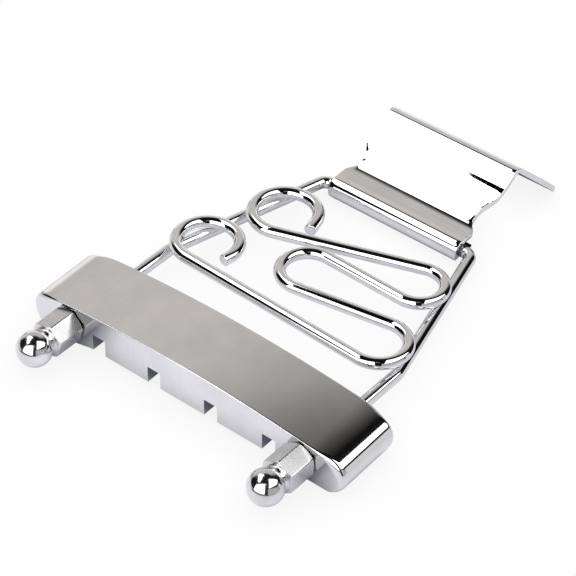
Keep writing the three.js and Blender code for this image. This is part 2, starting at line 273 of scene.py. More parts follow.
def makeChrome(name, settings):
    material = emptyMaterial(name)
    tree = material.node_tree
    place = addNode(tree, "ShaderNodeTexCoord").outputs["Object"]
    # slow change of tone and gloss, as a buffing wheel leaves it
    cloud = addNode(tree, "ShaderNodeTexNoise", {"Scale": 1 / (settings["cloudSize"] * mm), "Detail": 3.0},
                    {"Vector": place})
    tone = addNode(tree, "ShaderNodeValToRGB", {}, {"Fac": cloud.outputs["Fac"]})
    for stop, position, shade in zip(tone.color_ramp.elements, chromePattern["cloud"], ("shade", "light")):
        stop.position = position
        stop.color = srgb(settings[shade])
    gloss = addNode(tree, "ShaderNodeMapRange", {"To Min": settings["smooth"], "To Max": settings["rough"]},
                    {"Value": cloud.outputs["Fac"]})
    # polishing lines, long one way
    perMetre = tuple(1 / (size * mm) for size in settings["lineSize"])
    grain = addNode(tree, "ShaderNodeMapping", {"Scale": perMetre}, {"Vector": place})
    lines = addNode(tree, "ShaderNodeTexNoise", {"Scale": 1.0, "Detail": 4.0, "Roughness": 0.6},
                    {"Vector": grain.outputs["Vector"]})
    lineTone = addNode(tree, "ShaderNodeMapRange", {
        "From Min": chromePattern["line"][0], "From Max": chromePattern["line"][1],
        "To Min": 1 - settings["lineTone"], "To Max": 1.0}, {"Value": lines.outputs["Fac"]})
    shown = lineTone.outputs["Result"]
    roughness = gloss.outputs["Result"]
    axes = addNode(tree, "ShaderNodeSeparateXYZ", {}, {"Vector": place}).outputs
    if "foldShadeAndDull" in settings:
        # in and about the lip's fold the plate is thin and rougher, and its colour is darkened there as
        # painted shade of the fold
        inside = boxMask(tree, axes, settings["foldShadeAndDull"])
        shown = addNode(tree, "ShaderNodeMix", {"data_type": "FLOAT", "B": settings["paintedFoldShade"]},
                        {"Factor": inside, "A": shown}).outputs["Result"]
        roughness = addNode(tree, "ShaderNodeMix", {"data_type": "FLOAT", "B": settings["dullRough"]},
                            {"Factor": inside, "A": roughness}).outputs["Result"]
    if "brushed" in settings:
        # a flat that was brushed and not buffed; the lines' tone shows only there
        flat = bandMask(tree, axes, settings["brushed"], settings["brushedFade"])
        shown = addNode(tree, "ShaderNodeMix", {"data_type": "FLOAT", "A": 1.0},
                        {"Factor": flat, "B": shown}).outputs["Result"]
        roughness = addNode(tree, "ShaderNodeMix", {"data_type": "FLOAT", "B": settings["brushedRough"]},
                            {"Factor": flat, "A": roughness}).outputs["Result"]
    colour = addNode(tree, "ShaderNodeVectorMath", {"operation": "SCALE"},
                     {0: tone.outputs["Color"], "Scale": shown})
    bump = addNode(tree, "ShaderNodeBump", {
        "Strength": settings["lineDepth"], "Distance": chromePattern["lineHeight"] * mm},
        {"Height": lines.outputs["Fac"]})
    shader = addNode(tree, "ShaderNodeBsdfPrincipled", {"Metallic": 1.0}, {
        "Base Color": colour.outputs["Vector"], "Roughness": roughness, "Normal": bump.outputs["Normal"]})
    addNode(tree, "ShaderNodeOutputMaterial", {}, {"Surface": shader.outputs["BSDF"]})
    return material


# drawn steel wire, buffed bright: clean long streaks of white and black
wireChrome = makeChrome("polishedChromeWire", {
    "shade": "#e2e2e3", "light": "#ebebec", "cloudSize": 6.0, "smooth": 0.02, "rough": 0.05,
    "lineSize": (1.5, 1.5, 1.5), "lineTone": 0.05, "lineDepth": 0.02,
    # in the lip's fold the wire is rougher, and its colour is darkened as painted shade
    "foldShadeAndDull": (23.1, 3.0, 3.0, 3.0), "paintedFoldShade": 0.16, "dullRough": 0.12})
# a cast zinc bar, ground along its length and buffed less: what it mirrors has soft edges
barChrome = makeChrome("satinChromeCasting", {
    "shade": "#e2e2e2", "light": "#e9e9e9", "cloudSize": 9.0, "smooth": 0.06, "rough": 0.09,
    "lineSize": (0.5, 6.0, 3.0), "lineTone": 0.04, "lineDepth": 0.03})
# pressed steel sheet, a near perfect mirror, with brushing across the flat behind the lip
plateChrome = makeChrome("polishedChromeSheet", {
    "shade": "#e6e6e6", "light": "#eeeeee", "cloudSize": 8.0, "smooth": 0.01, "rough": 0.03,
    "lineSize": (14.0, 0.22, 0.22), "lineTone": 0.22, "lineDepth": 0.02,
    "brushed": (1.2, 8.6), "brushedFade": 0.3, "brushedRough": 0.06,
    # in and about the lip's fold the sheet is rougher, and its colour is darkened almost to black as painted
    # shade
    "foldShadeAndDull": (30.0, 2.3, 7.0, 2.4), "paintedFoldShade": 0.06, "dullRough": 0.35})
# turned brass: glossy balls, and hexagons whose tool marks blur what they mirror
nutChrome = makeChrome("turnedChromeNut", {
    "shade": "#d8d8d9", "light": "#e4e4e5", "cloudSize": 4.0, "smooth": 0.10, "rough": 0.16,
    "lineSize": (2.0, 0.18, 2.0), "lineTone": 0.16, "lineDepth": 0.04,
    "brushed": (-101.9, -90.0), "brushedFade": 0.1, "brushedRough": 0.24})


# Wires: a round section swept along a bent path, its cut ends lightly broken
wireSizes = {"thick": 3.5, "endBreak": 0.3, "endSteps": 5, "sides": 56, "bendStep": 2.0, "crease": 40.0}
frameSizes = {
    "rodPitch": 77.2, "neckPitch": 50.8, "bendDistance": 52.0, "rodBend": 12.0, "elbowBend": 3.0,
    "rodReach": 100.5,  # hinge axis to the ends inside the nuts
}
scrollSizes = {
    "lift": 3.75,
    # side of the rod that the loop touches and how far it stands outside it, or 0 and its place across;
    # then distance in front of the hinge, radius, and turn to the left (1) or right (-1)
    "loops": ((-1, 1.6, 46.4, 8.75, 1), (1, 0.0, 48.9, 8.2, 1), (0, -1.5, 38.2, 7.85, -1),
              (1, 0.0, 23.6, 7.3, 1), (-1, 0.0, 22.7, 9.2, -1)),
    # where the two hooks stop, in degrees, and the straight tips after them
    "frontEnd": -8.0, "frontTip": 2.2, "backEnd": 14.0, "backTip": 4.0,
}


def makeWireTree():
    tree = bpy.data.node_groups.new("bentWire", "GeometryNodeTree")
    inputs = {"Path": "Geometry", "Wire Radius": "Float", "Sides": "Int", "Finish": "Material"}
    for label, kind in inputs.items():
        tree.interface.new_socket(label, in_out="INPUT", socket_type="NodeSocket" + kind)
    tree.interface.new_socket("Wire", in_out="OUTPUT", socket_type="NodeSocketGeometry")
    given = addNode(tree, "NodeGroupInput").outputs
    section = addNode(tree, "GeometryNodeCurvePrimitiveCircle", {}, {
        "Resolution": given["Sides"], "Radius": given["Wire Radius"]})
    width = addNode(tree, "GeometryNodeInputRadius")
    swept = addNode(tree, "GeometryNodeCurveToMesh", {"Fill Caps": True}, {
        "Curve": given["Path"], "Profile Curve": section.outputs["Curve"],
        "Scale": width.outputs["Radius"]})
    smooth = addNode(tree, "GeometryNodeSetShadeSmooth", {}, {"Geometry": swept.outputs["Mesh"]})
    real = addNode(tree, "GeometryNodeRealizeInstances", {}, {"Geometry": smooth.outputs["Geometry"]})
    finish = addNode(tree, "GeometryNodeSetMaterial", {}, {
        "Geometry": real.outputs["Geometry"], "Material": given["Finish"]})
    addNode(tree, "NodeGroupOutput", {}, {"Wire": finish.outputs["Geometry"]})
    return tree


wireTree = makeWireTree()


def breakEnds(points):
    # extra points at both ends, with the width that rounds the cut edge off
    s = wireSizes
    rounding = quarterRound(s["endBreak"], s["endSteps"])

    def roundedEnd(first, second):
        way = (second - first).normalized()
        return [(first + way * along, 1 - inset / (s["thick"] / 2)) for along, inset in rounding]

    return (roundedEnd(points[0], points[1]) + [(p, 1.0) for p in points[1:-1]]
            + roundedEnd(points[-1], points[-2])[::-1])


def makeWire(name, points, body, node):
    made = breakEnds(points)
    data = bpy.data.curves.new(name + "Path", "CURVE")
    data.dimensions = "3D"
    data.twist_mode = "MINIMUM"
    spline = data.splines.new("POLY")
    spline.points.add(len(made) - 1)
    for curvePoint, (place, width) in zip(spline.points, made):
        curvePoint.co = tuple(wirePlane @ (place * mm)) + (1.0,)
        curvePoint.radius = width
    path = newObject(name + "Path", data)
    sweep = path.modifiers.new("bentWire", "NODES")
    sweep.node_group = wireTree
    sockets = {item.name: item.identifier for item in wireTree.interface.items_tree
               if item.in_out == "INPUT"}
    sweep[sockets["Wire Radius"]] = wireSizes["thick"] / 2 * mm
    sweep[sockets["Sides"]] = wireSizes["sides"]
    sweep[sockets["Finish"]] = wireChrome
    wire = toMesh(path, name)
    wire.data.set_sharp_from_angle(angle=math.radians(wireSizes["crease"]))
    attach(wire, body)
    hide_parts(node)


def framePoints():
    s = frameSizes
    rod, neck = s["rodPitch"] / 2, s["neckPitch"] / 2
    half = [Vector((rod, -s["rodReach"], 0)), Vector((rod, -s["bendDistance"], 0)), Vector((neck, 0, 0))]
    mirrored = [Vector((-p.x, p.y, 0)) for p in reversed(half)]
    return bentLine(half + mirrored, [s["rodBend"], s["elbowBend"], s["elbowBend"], s["rodBend"]],
                    wireSizes["bendStep"])


def rodSide(distance):
    # how far across the frame's rod lies, at a distance in front of the hinge
    s = frameSizes
    drawnIn = (s["rodPitch"] - s["neckPitch"]) / 2
    return s["rodPitch"] / 2 - drawnIn * max(0, 1 - distance / s["bendDistance"])


def angleTo(centre, p):
    return math.atan2(p.y - centre.y, p.x - centre.x)


def runBetween(first, second):
    # both ends of the straight run from one loop to the next
    way = second[0] - first[0]
    swerve = math.asin((second[2] * second[1] - first[2] * first[1]) / way.length)
    heading = math.atan2(way.y, way.x) - swerve
    left = Vector((-math.sin(heading), math.cos(heading)))
    return [centre - left * turn * radius for centre, radius, turn in (first, second)]


def tipStep(degrees, length):
    swing = math.radians(degrees)
    return Vector((math.sin(swing), -math.cos(swing), 0)) * length


def scrollPoints():
    s = scrollSizes
    loops = []
    for side, offset, distance, radius, turn in s["loops"]:
        across = side * (rodSide(distance) - radius + offset) if side else offset
        loops.append((Vector((across, -distance)), radius, turn))
    runs = [runBetween(a, b) for a, b in zip(loops, loops[1:])]
    points = []
    for i, (centre, radius, turn) in enumerate(loops):
        start = math.radians(s["frontEnd"]) if i == 0 else angleTo(centre, runs[i - 1][1])
        end = math.radians(s["backEnd"]) if i == len(loops) - 1 else angleTo(centre, runs[i][0])
        sweep = ((end - start) * turn) % (2 * math.pi)
        steps = math.ceil(math.degrees(sweep) / wireSizes["bendStep"])
        for k in range(steps + 1):
            angle = start + turn * sweep * k / steps
            points.append(Vector((centre.x + radius * math.cos(angle), centre.y + radius * math.sin(angle),
                                  s["lift"])))
    front = points[0] + tipStep(s["frontEnd"], s["frontTip"])
    back = points[-1] + tipStep(s["backEnd"], s["backTip"])
    return [front] + points + [back]


makeWire("wireFrame", framePoints(), "frame", "wire_frame")
makeWire("scrollWire", scrollPoints(), "frame", "scroll_wire")
print("wires swept")


# String bar: a casting with a crowned top, full ends and soft edges, in millimetres from its own front
barSizes = {
    "length": 104.0, "depth": 21.8, "height": 14.1, "crownReach": 41.0, "crownDrop": 2.1, "endDrop": 0.75,
    "endBulge": 4.6, "sideHeight": 5.5, "footRun": 4.5, "bossInner": 38.5,
    "reliefHalf": 30.0, "reliefRise": 1.5, "reliefEase": 2.8,
    # the upright corners at both ends, and the edges, which the polishing wheel rounds most at the ends
    "corner": 1.8, "cornerStart": 44.0, "cornerMargin": 1.0,
    "edge": 0.16, "edgeAtEnds": 1.5, "edgeStop": 2.0, "edgeRise": 3.0,
    "boreHeight": 5.91, "bore": 2.45, "rodPitch": 77.2,
    "strings": 4, "stringPitch": 19.0, "slotWidth": 4.3, "slotTop": 6.9, "slotRound": 0.05,
    "pocketWidth": 8.0, "pocketLength": 7.5, "pocketTop": 8.9, "pocketWall": 4.0, "pocketRound": 1.2,
    "overrun": 2.0, "crease": 32.0,
    # how many facets each stretch is given, round the outline, then through the depth
    "steps": {"relief": 12, "ease": 16, "foot": 4, "side": 24, "shoulder": 36, "crown": 40,
              "edge": 8, "corner": 8, "middle": 4, "bore": 96},
}


def barOutline():
    s, steps = barSizes, barSizes["steps"]
    half = s["length"] / 2

    def crownAt(x):
        return Vector((x, s["height"] - s["crownDrop"] * (x / s["crownReach"]) ** 2))

    # the right half, from the middle of the underside round to the middle of the top
    right = [Vector((s["reliefHalf"] * k / steps["relief"], s["reliefRise"]))
             for k in range(steps["relief"] + 1)]
    right += bezier(Vector((s["reliefHalf"], s["reliefRise"])),
                    Vector((s["reliefHalf"] + s["reliefEase"], s["reliefRise"])),
                    Vector((s["bossInner"] - s["reliefEase"], 0)), Vector((s["bossInner"], 0)),
                    steps["ease"])
    footEnd = half - s["footRun"]
    right += [Vector((s["bossInner"] + (footEnd - s["bossInner"]) * k / steps["foot"], 0))
              for k in range(1, steps["foot"] + 1)]
    for k in range(1, steps["side"] + 1):
        swing = math.radians(-90 + 90 * k / steps["side"])
        right.append(Vector((footEnd + s["footRun"] * math.cos(swing),
                             s["sideHeight"] + s["sideHeight"] * math.sin(swing))))
    # the shoulder leaves the side upright and meets the crown at the crown's own slope
    run = s["endDrop"] * s["crownReach"] / (2 * s["crownDrop"])
    top = crownAt(s["crownReach"])
    right += bezier(Vector((half, s["sideHeight"])), Vector((half, s["sideHeight"] + s["endBulge"])),
                    Vector((s["crownReach"] + run, top.y - s["endDrop"])), top, steps["shoulder"])
    right += [crownAt(s["crownReach"] * (1 - k / steps["crown"])) for k in range(1, steps["crown"] + 1)]
    return right + [Vector((-p.x, p.y)) for p in reversed(right[1:-1])]


def barRings(outline):
    s, steps = barSizes, barSizes["steps"]
    half = s["length"] / 2
    flat = s["corner"] + s["cornerMargin"]  # from this depth on, rings are plain
    outward, edges = [], []
    for i, p in enumerate(outline):
        way = (outline[(i + 1) % len(outline)] - outline[i - 1]).normalized()
        outward.append(Vector((way.y, -way.x)))
        share = (easedShare(abs(p.x), s["crownReach"], half - s["edgeStop"])
                 * easedShare(p.y, s["sideHeight"], s["sideHeight"] + s["edgeRise"]))
        edges.append(s["edge"] + (s["edgeAtEnds"] - s["edge"]) * share)

    def depthOf(stage, share, edge):
        # how deep a ring lies behind the front, and how far inside the outline
        if stage == "edge":
            swing = math.radians(90 * share)
            return edge * (1 - math.cos(swing)), edge * (1 - math.sin(swing))
        if stage == "corner":
            return edge + (flat - edge) * share, 0.0
        return flat + (s["depth"] / 2 - flat) * share, 0.0

    stages = [("edge", k / steps["edge"]) for k in range(steps["edge"] + 1)]
    stages += [(stage, k / steps[stage]) for stage in ("corner", "middle")
               for k in range(1, steps[stage] + 1)]
    # to the middle and back again
    places = [(*stage, False) for stage in stages] + [(*stage, True) for stage in reversed(stages[:-1])]
    rings = []
    for stage, share, mirrored in places:
        ring = []
        for p, out, edge in zip(outline, outward, edges):
            near, inset = depthOf(stage, share, edge)
            gone = s["corner"] - math.sqrt(max(0.0, s["corner"] ** 2 - max(0.0, s["corner"] - near) ** 2))
            q = p - out * inset
            x = q.x - math.copysign(gone * easedShare(abs(p.x), s["cornerStart"], half), q.x)
            ring.append(Vector((x, s["depth"] - near if mirrored else near, q.y)) * mm)
        rings.append(ring)
    return rings


def blockRings(low, high, radius, steps=6):
    # an upright block between two corners, its upright edges rounded
    centres = ((high[0] - radius, high[1] - radius, 0), (low[0] + radius, high[1] - radius, 90),
               (low[0] + radius, low[1] + radius, 180), (high[0] - radius, low[1] + radius, 270))
    plan = []
    for x, y, start in centres:
        for k in range(steps + 1):
            swing = math.radians(start + 90 * k / steps)
            plan.append((x + radius * math.cos(swing), y + radius * math.sin(swing)))
    return [[Vector((x, y, z)) * mm for x, y in plan] for z in (low[2], high[2])]


def makeBar():
    s = barSizes
    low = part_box("string_bar")[0]
    bar = solidOf(barRings(barOutline()), "stringBar")
    pocketBack = s["depth"] - s["pocketWall"]
    pocketFront = pocketBack - s["pocketLength"]
    for k in range(s["strings"]):
        x = (k - (s["strings"] - 1) / 2) * s["stringPitch"]
        slot = blockRings((x - s["slotWidth"] / 2, -s["overrun"], -s["overrun"]),
                          (x + s["slotWidth"] / 2, pocketFront + s["overrun"], s["slotTop"]), s["slotRound"])
        pocket = blockRings((x - s["pocketWidth"] / 2, pocketFront, -s["overrun"]),
                            (x + s["pocketWidth"] / 2, pocketBack, s["pocketTop"]), s["pocketRound"])
        bar = cut(bar, solidOf(slot, "slotCutter"))
        bar = cut(bar, solidOf(pocket, "pocketCutter"))
    for side in (-1, 1):
        bore = cylinderRings(side * s["rodPitch"] / 2, s["boreHeight"], s["bore"],
                             -s["overrun"], s["depth"] + s["overrun"], s["steps"]["bore"])
        bar = cut(bar, solidOf(bore, "boreCutter"))
    bar.data.transform(Matrix.Translation((0, low.y, low.z)))
    bar = polish(bar, s["crease"], barChrome)
    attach(bar, "bar")
    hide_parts("string_bar")


makeBar()
print("string bar cast")


# Tail bracket: one sheet bent round the cross wire, up over a ridge and down the leg
plateSizes = {
    "thick": 1.5, "lipMiddle": 2.6, "lipTail": 5.6, "lipCorner": 2.6, "lipMargin": 0.5, "lipOuter": 3.35,
    "shelfReach": 7.7, "riseRun": 7.3, "riseHeight": 5.6, "shoulderRun": 11.0, "shoulderHeight": 3.9,
    "riseBend": 8.5, "shoulderBend": 25.0, "ridgeBend": 2.4, "legSlope": 44.6,
    # half width and distance behind the hinge axis
    "halves": ((22.0, 4.0), (19.5, 8.9), (22.6, 17.2), (22.0, 26.0)),
    "footHalf": 26.7, "ease": 0.45, "footCorner": 5.0, "edge": 0.16, "crease": 38.0,
    "screwHole": 4.5, "screwPitch": 26.0, "screwInset": 7.0, "overrun": 3.0,
    # a facet's degrees round a bend and its length along the sheet, then how many make up the rest
    "steps": {"bend": 3.0, "along": 0.4, "across": 30, "edge": 4, "screw": 96},
}


def plateLine():
    # the middle of the sheet, seen from the side: distance behind the hinge, and height over it
    s = plateSizes
    m = s["lipMiddle"]
    shelf = Vector((s["shelfReach"], m))
    rise = shelf + Vector((s["riseRun"], s["riseHeight"]))
    ridge = rise + Vector((s["shoulderRun"], s["shoulderHeight"]))
    slope = math.radians(s["legSlope"])
    length = (ridge.y + s["lipOuter"] - s["thick"] / 2 * math.cos(slope)) / math.sin(slope)
    foot = ridge + Vector((math.cos(slope), -math.sin(slope))) * length
    corners = [Vector((s["lipTail"], -m)), Vector((-m, -m)), Vector((-m, m)), shelf, rise, ridge, foot]
    line = bentLine(corners, [m, m, s["riseBend"], s["shoulderBend"], s["ridgeBend"]], s["steps"]["bend"])
    return line, ridge, slope, length


def waistHalf(y, rows):
    # half width between the rows, on a curve that is level at each row
    s = plateSizes
    i = next(k for k in range(1, len(rows)) if y <= rows[k][1])
    (a, ya), (b, yb) = rows[i - 1], rows[i]
    low, high = 0.0, 1.0
    for _ in range(40):  # halved until far below a micron
        t = (low + high) / 2
        along = 3 * s["ease"] * t * (1 - t) ** 2 + 3 * (1 - s["ease"]) * t * t * (1 - t) + t ** 3
        at = ya + (yb - ya) * along
        low, high = (t, high) if at < y else (low, t)
    return a + (b - a) * (3 * t * t * (1 - t) + t ** 3)


def plateHalf(y, z, footEnd):
    # half width of the plate where a point of its surface lies
    s = plateSizes
    rows = list(s["halves"]) + [(s["footHalf"], footEnd - s["footCorner"])]
    if y <= rows[0][1]:
        half = rows[0][0]
    elif y >= rows[-1][1]:
        left = min(1.0, max(0.0, (footEnd - y) / s["footCorner"]))
        half = s["footHalf"] - s["footCorner"] * (1 - math.sqrt(left)) ** 2
    else:
        half = waistHalf(y, rows)
    under = z + s["lipOuter"]
    if y < s["lipTail"] + s["lipMargin"] and under < s["lipCorner"]:
        share = math.sqrt(max(0.0, under) / s["lipCorner"])
        half = min(half, s["halves"][0][0] - s["lipCorner"] * (1 - share) ** 2)
    return half


def plateRings(line, slope):
    s, steps = plateSizes, plateSizes["steps"]
    footEnd = line[-1].x + s["thick"] / 2 * math.sin(slope)
    # even, close steps along the sheet
    fine = [line[0]]
    for a, b in zip(line, line[1:]):
        count = max(1, math.ceil((b - a).length / steps["along"]))
        fine += [a + (b - a) * k / count for k in range(1, count + 1)]
    ways = [(fine[min(i + 1, len(fine) - 1)] - fine[max(i - 1, 0)]).normalized() for i in range(len(fine))]
    # the sheet's cut ends are rounded over as its sides are
    rounding = quarterRound(s["edge"], steps["edge"])
    stations = [(fine[0] + ways[0] * along, ways[0], shrink) for along, shrink in rounding]
    stations += [(p, way, 0.0) for p, way in list(zip(fine, ways))[2:-2]]
    stations += [(fine[-1] - ways[-1] * along, ways[-1], shrink) for along, shrink in reversed(rounding)]
    across = [-1 + 2 * k / steps["across"] for k in range(steps["across"] + 1)]
    rings = []
    for place, way, shrink in stations:
        up = Vector((-way.y, way.x))
        deep = s["thick"] / 2 - shrink
        # half a turn round the sheet: offset from its middle, share of the half width, inset
        halfTurn = [(deep, share, s["edge"]) for share in across]
        halfTurn += [(deep - down, 1, inset) for down, inset in rounding[1:]]
        halfTurn += [(down - deep, 1, inset) for down, inset in reversed(rounding[1:])]
        section = halfTurn + [(-offset, -share, inset) for offset, share, inset in halfTurn]
        ring = []
        for offset, share, inset in section:
            at = place + up * offset
            half = plateHalf(at.x, at.y, footEnd) - inset - shrink
            ring.append(hingeAt + Vector((share * half, at.x, at.y)) * mm)
        rings.append(ring)
    return rings


def makeBracket():
    s = plateSizes
    line, ridge, slope, length = plateLine()
    plate = solidOf(plateRings(line, slope), "tailBracket")
    screws = ((-s["screwPitch"] / 2, s["screwInset"]), (s["screwPitch"] / 2, s["screwInset"]),
              (0, length - s["screwInset"]))
    for x, down in screws:
        spot = ridge + Vector((math.cos(slope), -math.sin(slope))) * down
        shank = cylinderRings(0, 0, s["screwHole"] / 2, -s["overrun"], s["overrun"], s["steps"]["screw"])
        drill = solidOf(shank, "screwCutter")
        # the leg's face looks along (sin, cos) of its slope
        drill.data.transform(Matrix.Translation(hingeAt + Vector((x, spot.x, spot.y)) * mm)
                             @ Matrix.Rotation(math.pi / 2 - slope, 4, "X"))
        plate = cut(plate, drill)
    plate = polish(plate, s["crease"], plateChrome)
    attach(plate, "bracket")
    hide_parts("tail_bracket")


makeBracket()
print("tail bracket bent")


# Ball-ended nuts: a hexagon with broken edges and turned ends, a short neck and a ball
nutSizes = {
    "flats": 9.2, "length": 9.1, "chamfer": 0.5, "face": 8.8, "edge": 0.7, "ball": 9.85, "ballReach": 4.2,
    "neck": 7.6, "neckFillet": 0.5, "hole": 1.9, "holeDepth": 8.7, "overrun": 2.0, "coneOverrun": 1.0,
    "turns": {"left": 12.0, "right": 31.0},  # how far each nut happens to be turned, in degrees
    "crease": 30.0,
    "steps": {"edge": 8, "fillet": 8, "ball": 48, "turned": 128, "hole": 64},  # how many facets
}


def turnedRings(profile):
    # turned about -Y from (distance along the axis, radius), starting and ending near the axis
    sides = nutSizes["steps"]["turned"]
    return [[Vector((radius * math.cos(2 * math.pi * k / sides), -along,
                     radius * math.sin(2 * math.pi * k / sides))) * mm for k in range(sides)]
            for along, radius in profile]


def hexagonRings(turn):
    s = nutSizes
    steps = s["steps"]["edge"]
    inner = s["flats"] / math.sqrt(3) - s["edge"] / math.cos(math.radians(30))
    ring = []
    for base in (60 * k + turn for k in range(6)):
        centre = Vector((math.cos(math.radians(base)), math.sin(math.radians(base)))) * inner
        for j in range(steps + 1):
            swing = math.radians(base - 30 + 60 * j / steps)
            ring.append(centre + Vector((math.cos(swing), math.sin(swing))) * s["edge"])
    return [[Vector((p.x, -y, p.y)) * mm for p in ring] for y in (0, s["length"])]


def makeNut(side, node):
    s, steps = nutSizes, nutSizes["steps"]
    axis = 0.001  # as near to the axis as a profile comes
    nut = solidOf(hexagonRings(s["turns"][side]), side + "BallNut")
    # both ends turned down to a round face
    corner = s["flats"] / math.sqrt(3)
    wide = corner + s["coneOverrun"]
    run = s["chamfer"] * (wide - s["face"] / 2) / (corner - s["face"] / 2)
    ends = [(0, axis), (0, s["face"] / 2), (run, wide), (s["length"] - run, wide),
            (s["length"], s["face"] / 2), (s["length"], axis)]
    nut = cut(nut, solidOf(turnedRings(ends), "endsCutter"), "INTERSECT")
    # neck with its fillet, and the ball
    ballRadius = s["ball"] / 2
    centre = s["length"] + s["ballReach"]
    join = math.asin(s["neck"] / 2 / ballRadius)
    profile = [(s["length"] / 2, axis), (s["length"] / 2, s["neck"] / 2 + s["neckFillet"])]
    profile += [(s["length"] + along, s["neck"] / 2 + out)
                for along, out in quarterRound(s["neckFillet"], steps["fillet"])]
    for k in range(steps["ball"] + 1):
        swing = join + (math.pi - join) * k / steps["ball"]
        profile.append((centre - ballRadius * math.cos(swing), max(axis, ballRadius * math.sin(swing))))
    nut = cut(nut, solidOf(turnedRings(profile), "ball"), "UNION")
    hole = cylinderRings(0, 0, s["hole"], -s["holeDepth"], s["overrun"], steps["hole"])
    nut = cut(nut, solidOf(hole, "holeCutter"))
    spot = Vector(joints[side + "_nut_turn"]["pos_m"])
    nut.data.transform(Matrix.Translation(spot) @ Matrix.Rotation(-lean, 4, "X"))
    nut = polish(nut, s["crease"], nutChrome)
    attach(nut, side + "_nut")
    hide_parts(node)


makeNut("left", "ball_nut_left")
makeNut("right", "ball_nut_right")
print("nuts turned")


# Studio: a round pale table top, and softboxes before dark walls, which the chrome mirrors. Metres.
studio = {
    "wallRadius": 3.0, "panelRadius": 2.8, "panelCells": 8, "dark": 0.006,
    # corners as azimuth from +Y towards +X and elevation in degrees, strength, share of soft edge
    "panels": {
        "overheadSoftbox": (((-72, 35), (-54, 63.5), (-150, 58), (-146, 46.5)), 3.0, 0.05),
        "frontSoftbox": (((-148, 36), (147, 62), (147, 1), (-148, 3)), 2.75, 0.05),
        "rightSoftbox": (((44, 76), (121, 34), (56, 25), (34, 26)), 3.0, 0.05),
        "lowBand": (((42, 16), (60, 16), (60, -6), (42, -6)), 0.78, 0.08),
        "lowWall": (((130, 33), (62, 13), (62, -4), (132, -4)), 0.52, 0.06),
        "lowSweep": (((-146, 4), (-62, 5), (-62, -8), (-146, -8)), 0.80, 0.25),
        "boom": (((126, 64), (150, 64), (150, 50), (126, 50)), 0.30, 0.30),
    },
    # a black flag before the overhead softbox, which the bracket mirrors as a wedge
    "flag": ((-69, 72), (-140, 65.5), (-77.5, 64.9), (-74.4, 64.75)), "flagSoft": 0.05, "flagRadius": 2.7,
    # the sweep behind: elevation in degrees and brightness, pale low down and black above
    "sweep": ((0, 1.05), (10, 1.05), (13, 0.85), (17, 0.64), (22, 0.59), (30, 0.61), (40, 0.64),
              (45, 0.585), (49, 0.44), (52, 0.21), (55, 0.07), (58, 0.01)),
    # its tint, and the azimuths over which it fades in and out
    "sweepTint": (1.0, 0.965, 0.935), "sweepFrom": (-100, -78), "sweepTo": (-12, 16),
    # the floor round and below the table, from this elevation down
    "floorFrom": -6.0, "floorGlow": (0.66, 0.66, 0.70),
    "tableRadius": 0.13, "tableDrop": 0.00003, "tableSides": 96,
    "tableColour": "#dedee4", "tableGlow": (0.95, 0.95, 1.005),
    # the lamps' pool of light on the table: its middle, where it starts to fade, where it has, how far
    "poolAt": (-0.02, -0.07, 0), "poolFade": (0.05, 0.10, 0.78),
    # how the metal sees the table darken close to the object: reach, open share from and to, darkest
    "mirrorReach": 0.025, "mirrorOpen": (0.16, 0.72), "mirrorShade": (0.09, 0.095, 0.125),
    "shadowReach": 0.014, "shadowDepth": 0.14, "shadeSamples": 16,
}


def wayTo(azimuth, elevation):
    a, e = math.radians(azimuth), math.radians(elevation)
    return Vector((math.sin(a) * math.cos(e), math.cos(a) * math.cos(e), math.sin(e)))


def unseen(thing):
    # for the metal to mirror, but not seen by the camera and casting no shadow
    thing.visible_camera = False
    thing.visible_shadow = False
    return thing


def mirrorRays(tree, rays):
    return addNode(tree, "ShaderNodeMath", {"operation": "MAXIMUM"},
                   {0: rays["Is Glossy Ray"], 1: rays["Is Transmission Ray"]}).outputs[0]


def makePanel(name, corners, strength, soft, radius):
    # a sheet of light between four directions, fading at its rim
    ways = [wayTo(*corner) for corner in corners]
    cells = studio["panelCells"]
    row = cells + 1
    points = []
    for j in range(row):
        for i in range(row):
            u, v = i / cells, j / cells
            way = (ways[0] * (1 - u) + ways[1] * u) * (1 - v) + (ways[3] * (1 - u) + ways[2] * u) * v
            points.append(way.normalized() * radius)
    faces = [(j * row + i, j * row + i + 1, (j + 1) * row + i + 1, (j + 1) * row + i)
             for j in range(cells) for i in range(cells)]
    mesh = bpy.data.meshes.new(name)
    mesh.from_pydata(points, [], faces)
    layer = mesh.uv_layers.new(name="sheet")
    for corner in mesh.loops:
        layer.data[corner.index].uv = (corner.vertex_index % row / cells, corner.vertex_index // row / cells)
    material = emptyMaterial(name)
    tree = material.node_tree
    sheet = addNode(tree, "ShaderNodeUVMap", {"uv_map": "sheet"})
    place = addNode(tree, "ShaderNodeSeparateXYZ", {}, {"Vector": sheet.outputs["UV"]})
    fades = []
    for side, most in (("X", strength), ("Y", 1.0)):
        apart = addNode(tree, "ShaderNodeMath", {"operation": "SUBTRACT", 1: 0.5}, {0: place.outputs[side]})
        apart = addNode(tree, "ShaderNodeMath", {"operation": "ABSOLUTE"}, {0: apart.outputs[0]})
        fades.append(addNode(tree, "ShaderNodeMapRange", {
            "interpolation_type": "SMOOTHSTEP", "From Min": 0.5 - soft, "From Max": 0.5,
            "To Min": most, "To Max": 0.0}, {"Value": apart.outputs[0]}).outputs["Result"])
    glow = addNode(tree, "ShaderNodeEmission", {}, {"Strength": overlapOf(tree, fades)})
    addNode(tree, "ShaderNodeOutputMaterial", {}, {"Surface": glow.outputs["Emission"]})
    mesh.materials.append(material)
    return unseen(newObject(name, mesh))


